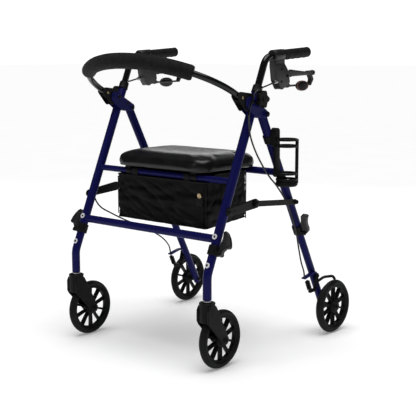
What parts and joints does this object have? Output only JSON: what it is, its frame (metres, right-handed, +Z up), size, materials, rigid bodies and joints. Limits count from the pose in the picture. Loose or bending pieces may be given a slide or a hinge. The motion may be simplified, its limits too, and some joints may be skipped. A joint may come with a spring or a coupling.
{
  "type": "rollator walker",
  "caption": "Folding wheeled walking frame with padded seat, curved backrest, storage bag, cup holder, height-adjustable brake handles and swivelling front casters.",
  "frame": {"origin": "floor point under the middle of the whole walker's bounding box", "axes": "+X towards the user's left, -Y towards the front casters, +Z up"},
  "size_m": [0.7208, 0.748, 0.9299],
  "materials": {
    "powder_blue": "deep navy metallic powder coat, satin gloss",
    "black_plastic": "matt moulded black plastic",
    "black_chrome": "gloss black paint over tube",
    "grip_rubber": "matt soft rubber",
    "tyre": "matt black solid tyre",
    "cable_sheath": "smooth black sheath",
    "foam": "closed-cell foam, matt dark grey",
    "vinyl": "smooth black vinyl with a soft sheen",
    "nylon": "coated woven nylon with faint creases",
    "board": "black painted plywood"
  },
  "bodies": {
    "front_frame": {"front_leg_left": "powder_blue", "front_leg_right": "powder_blue", "upper_crossbar": "powder_blue", "lower_crossbar": "powder_blue", "top_bracket_left": "powder_blue", "top_bracket_right": "powder_blue", "leg_sleeve_left": "black_plastic", "leg_sleeve_right": "black_plastic", "front_clamp_collar_left": "black_plastic", "front_clamp_collar_right": "black_plastic", "backrest_socket_left": "black_plastic", "backrest_socket_right": "black_plastic", "bag": "nylon", "brake_cable_left": "cable_sheath", "brake_cable_right": "cable_sheath"},
    "rear_frame": {"rear_leg_left": "powder_blue", "rear_leg_right": "powder_blue", "rear_crossbar": "powder_blue", "rear_clamp_collar_left": "black_plastic", "rear_clamp_collar_right": "black_plastic", "cup_holder": "black_plastic"},
    "seat": {"seat_board": "board", "seat_cushion": "vinyl"},
    "backrest": {"backrest_bow": "black_chrome", "backrest_pad": "foam"},
    "front_brace_left": {"front_brace_left": "black_plastic"},
    "rear_brace_left": {"rear_brace_left": "black_plastic"},
    "handle_left": {"handle_tube_left": "black_chrome", "grip_left": "grip_rubber", "brake_housing_left": "black_plastic"},
    "brake_lever_left": {"brake_lever_left": "black_plastic"},
    "height_knob_left": {"height_knob_left": "black_plastic"},
    "front_lower_leg_left": {"front_lower_leg_left": "powder_blue"},
    "caster_left": {"caster_fork_left": "black_plastic"},
    "front_wheel_left": {"front_rim_left": "black_plastic", "front_tyre_left": "tyre"},
    "front_clamp_lever_left": {"front_clamp_lever_left": "black_plastic"},
    "rear_lower_leg_left": {"rear_lower_leg_left": "powder_blue"},
    "rear_wheel_left": {"rear_rim_left": "black_plastic", "rear_tyre_left": "tyre"},
    "brake_arm_left": {"brake_arm_left": "black_plastic"},
    "rear_clamp_lever_left": {"rear_clamp_lever_left": "black_plastic"},
    "front_brace_right": {"front_brace_right": "black_plastic"},
    "rear_brace_right": {"rear_brace_right": "black_plastic"},
    "handle_right": {"handle_tube_right": "black_chrome", "grip_right": "grip_rubber", "brake_housing_right": "black_plastic"},
    "brake_lever_right": {"brake_lever_right": "black_plastic"},
    "height_knob_right": {"height_knob_right": "black_plastic"},
    "front_lower_leg_right": {"front_lower_leg_right": "powder_blue"},
    "caster_right": {"caster_fork_right": "black_plastic"},
    "front_wheel_right": {"front_rim_right": "black_plastic", "front_tyre_right": "tyre"},
    "front_clamp_lever_right": {"front_clamp_lever_right": "black_plastic"},
    "rear_lower_leg_right": {"rear_lower_leg_right": "powder_blue"},
    "rear_wheel_right": {"rear_rim_right": "black_plastic", "rear_tyre_right": "tyre"},
    "brake_arm_right": {"brake_arm_right": "black_plastic"},
    "rear_clamp_lever_right": {"rear_clamp_lever_right": "black_plastic"}
  },
  "joints": [
    {"name": "fold", "type": "hinge", "parent": "front_frame", "child": "rear_frame", "pos_m": [0, -0.05411, 0.733], "axis": [-1, 0, 0], "range_deg": [0, 28], "deforming": ["bag", "brake_cable_left", "brake_cable_right"]},
    {"name": "seat_lift", "type": "hinge", "parent": "front_frame", "child": "seat", "pos_m": [0, -0.18701, 0.5445], "axis": [1, 0, 0], "range_deg": [0, 90]},
    {"name": "backrest_fold", "type": "hinge", "parent": "front_frame", "child": "backrest", "pos_m": [0, -0.13211, 0.773], "axis": [-1, 0, 0], "range_deg": [0, 80]},
    {"name": "front_brace_left", "type": "hinge", "parent": "front_frame", "child": "front_brace_left", "pos_m": [0.26045, -0.22311, 0.461], "axis": [1, 0, 0], "range_deg": [0, 64]},
    {"name": "rear_brace_left", "type": "hinge", "parent": "rear_frame", "child": "rear_brace_left", "pos_m": [0.26045, 0.09259, 0.455], "axis": [-1, 0, 0], "range_deg": [0, 26]},
    {"name": "handle_height_left", "type": "slide", "parent": "front_frame", "child": "handle_left", "axis": [0, 0.3966, 0.918], "range_m": [-0.02, 0.1], "deforming": ["brake_cable_left"]},
    {"name": "brake_lever_left", "type": "hinge", "parent": "handle_left", "child": "brake_lever_left", "pos_m": [0.26045, 0.06389, 0.838], "axis": [1, 0, 0], "range_deg": [0, 9], "stiffness_Nm_per_rad": 2, "springref_deg": -5.73},
    {"name": "height_knob_left", "type": "hinge", "parent": "front_frame", "child": "height_knob_left", "pos_m": [0.26045, -0.08613, 0.778], "axis": [1, 0, 0], "continuous": true},
    {"name": "front_leg_height_left", "type": "slide", "parent": "front_frame", "child": "front_lower_leg_left", "axis": [0, -0.3966, -0.918], "range_m": [0, 0.05]},
    {"name": "caster_swivel_left", "type": "hinge", "parent": "front_lower_leg_left", "child": "caster_left", "pos_m": [0.26045, -0.29911, 0.205], "axis": [0, 0, 1], "continuous": true},
    {"name": "front_wheel_left", "type": "hinge", "parent": "caster_left", "child": "front_wheel_left", "pos_m": [0.26045, -0.24211, 0.0875], "axis": [1, 0, 0], "continuous": true},
    {"name": "front_clamp_left", "type": "hinge", "parent": "front_frame", "child": "front_clamp_lever_left", "pos_m": [0.28745, -0.27247, 0.34666], "axis": [0, 0.918, -0.3966], "range_deg": [0, 100]},
    {"name": "rear_leg_height_left", "type": "slide", "parent": "rear_frame", "child": "rear_lower_leg_left", "axis": [0, 0.4667, -0.8844], "range_m": [0, 0.05], "deforming": ["brake_cable_left"]},
    {"name": "rear_wheel_left", "type": "hinge", "parent": "rear_lower_leg_left", "child": "rear_wheel_left", "pos_m": [0.30285, 0.28652, 0.0875], "axis": [1, 0, 0], "continuous": true},
    {"name": "brake_arm_left", "type": "hinge", "parent": "rear_lower_leg_left", "child": "brake_arm_left", "pos_m": [0.26045, 0.22926, 0.196], "axis": [-1, 0, 0], "range_deg": [0, 3]},
    {"name": "rear_clamp_left", "type": "hinge", "parent": "rear_frame", "child": "rear_clamp_lever_left", "pos_m": [0.28745, 0.14646, 0.35292], "axis": [0, 0.8844, 0.4667], "range_deg": [0, 100]},
    {"name": "front_brace_right", "type": "hinge", "parent": "front_frame", "child": "front_brace_right", "pos_m": [-0.29555, -0.22311, 0.461], "axis": [1, 0, 0], "range_deg": [0, 64]},
    {"name": "rear_brace_right", "type": "hinge", "parent": "rear_frame", "child": "rear_brace_right", "pos_m": [-0.29555, 0.09259, 0.455], "axis": [-1, 0, 0], "range_deg": [0, 26]},
    {"name": "handle_height_right", "type": "slide", "parent": "front_frame", "child": "handle_right", "axis": [0, 0.3966, 0.918], "range_m": [-0.02, 0.1], "deforming": ["brake_cable_right"]},
    {"name": "brake_lever_right", "type": "hinge", "parent": "handle_right", "child": "brake_lever_right", "pos_m": [-0.29555, 0.06389, 0.838], "axis": [1, 0, 0], "range_deg": [0, 9], "stiffness_Nm_per_rad": 2, "springref_deg": -5.73},
    {"name": "height_knob_right", "type": "hinge", "parent": "front_frame", "child": "height_knob_right", "pos_m": [-0.29555, -0.08613, 0.778], "axis": [1, 0, 0], "continuous": true},
    {"name": "front_leg_height_right", "type": "slide", "parent": "front_frame", "child": "front_lower_leg_right", "axis": [0, -0.3966, -0.918], "range_m": [0, 0.05]},
    {"name": "caster_swivel_right", "type": "hinge", "parent": "front_lower_leg_right", "child": "caster_right", "pos_m": [-0.29555, -0.29911, 0.205], "axis": [0, 0, 1], "continuous": true},
    {"name": "front_wheel_right", "type": "hinge", "parent": "caster_right", "child": "front_wheel_right", "pos_m": [-0.29555, -0.24211, 0.0875], "axis": [1, 0, 0], "continuous": true},
    {"name": "front_clamp_right", "type": "hinge", "parent": "front_frame", "child": "front_clamp_lever_right", "pos_m": [-0.32255, -0.27247, 0.34666], "axis": [0, -0.918, 0.3966], "range_deg": [0, 100]},
    {"name": "rear_leg_height_right", "type": "slide", "parent": "rear_frame", "child": "rear_lower_leg_right", "axis": [0, 0.4667, -0.8844], "range_m": [0, 0.05], "deforming": ["brake_cable_right"]},
    {"name": "rear_wheel_right", "type": "hinge", "parent": "rear_lower_leg_right", "child": "rear_wheel_right", "pos_m": [-0.33795, 0.28652, 0.0875], "axis": [1, 0, 0], "continuous": true},
    {"name": "brake_arm_right", "type": "hinge", "parent": "rear_lower_leg_right", "child": "brake_arm_right", "pos_m": [-0.29555, 0.22926, 0.196], "axis": [-1, 0, 0], "range_deg": [0, 3]},
    {"name": "rear_clamp_right", "type": "hinge", "parent": "rear_frame", "child": "rear_clamp_lever_right", "pos_m": [-0.32255, 0.14646, 0.35292], "axis": [0, -0.8844, -0.4667], "range_deg": [0, 100]}
  ],
  "couplings": [
    {"joint": "front_brace_left", "follows": "fold", "ratio": 2.24},
    {"joint": "rear_brace_left", "follows": "fold", "ratio": 0.9},
    {"joint": "brake_arm_left", "follows": "brake_lever_left", "ratio": 0.3},
    {"joint": "front_brace_right", "follows": "fold", "ratio": 2.24},
    {"joint": "rear_brace_right", "follows": "fold", "ratio": 0.9},
    {"joint": "brake_arm_right", "follows": "brake_lever_right", "ratio": 0.3}
  ]
}
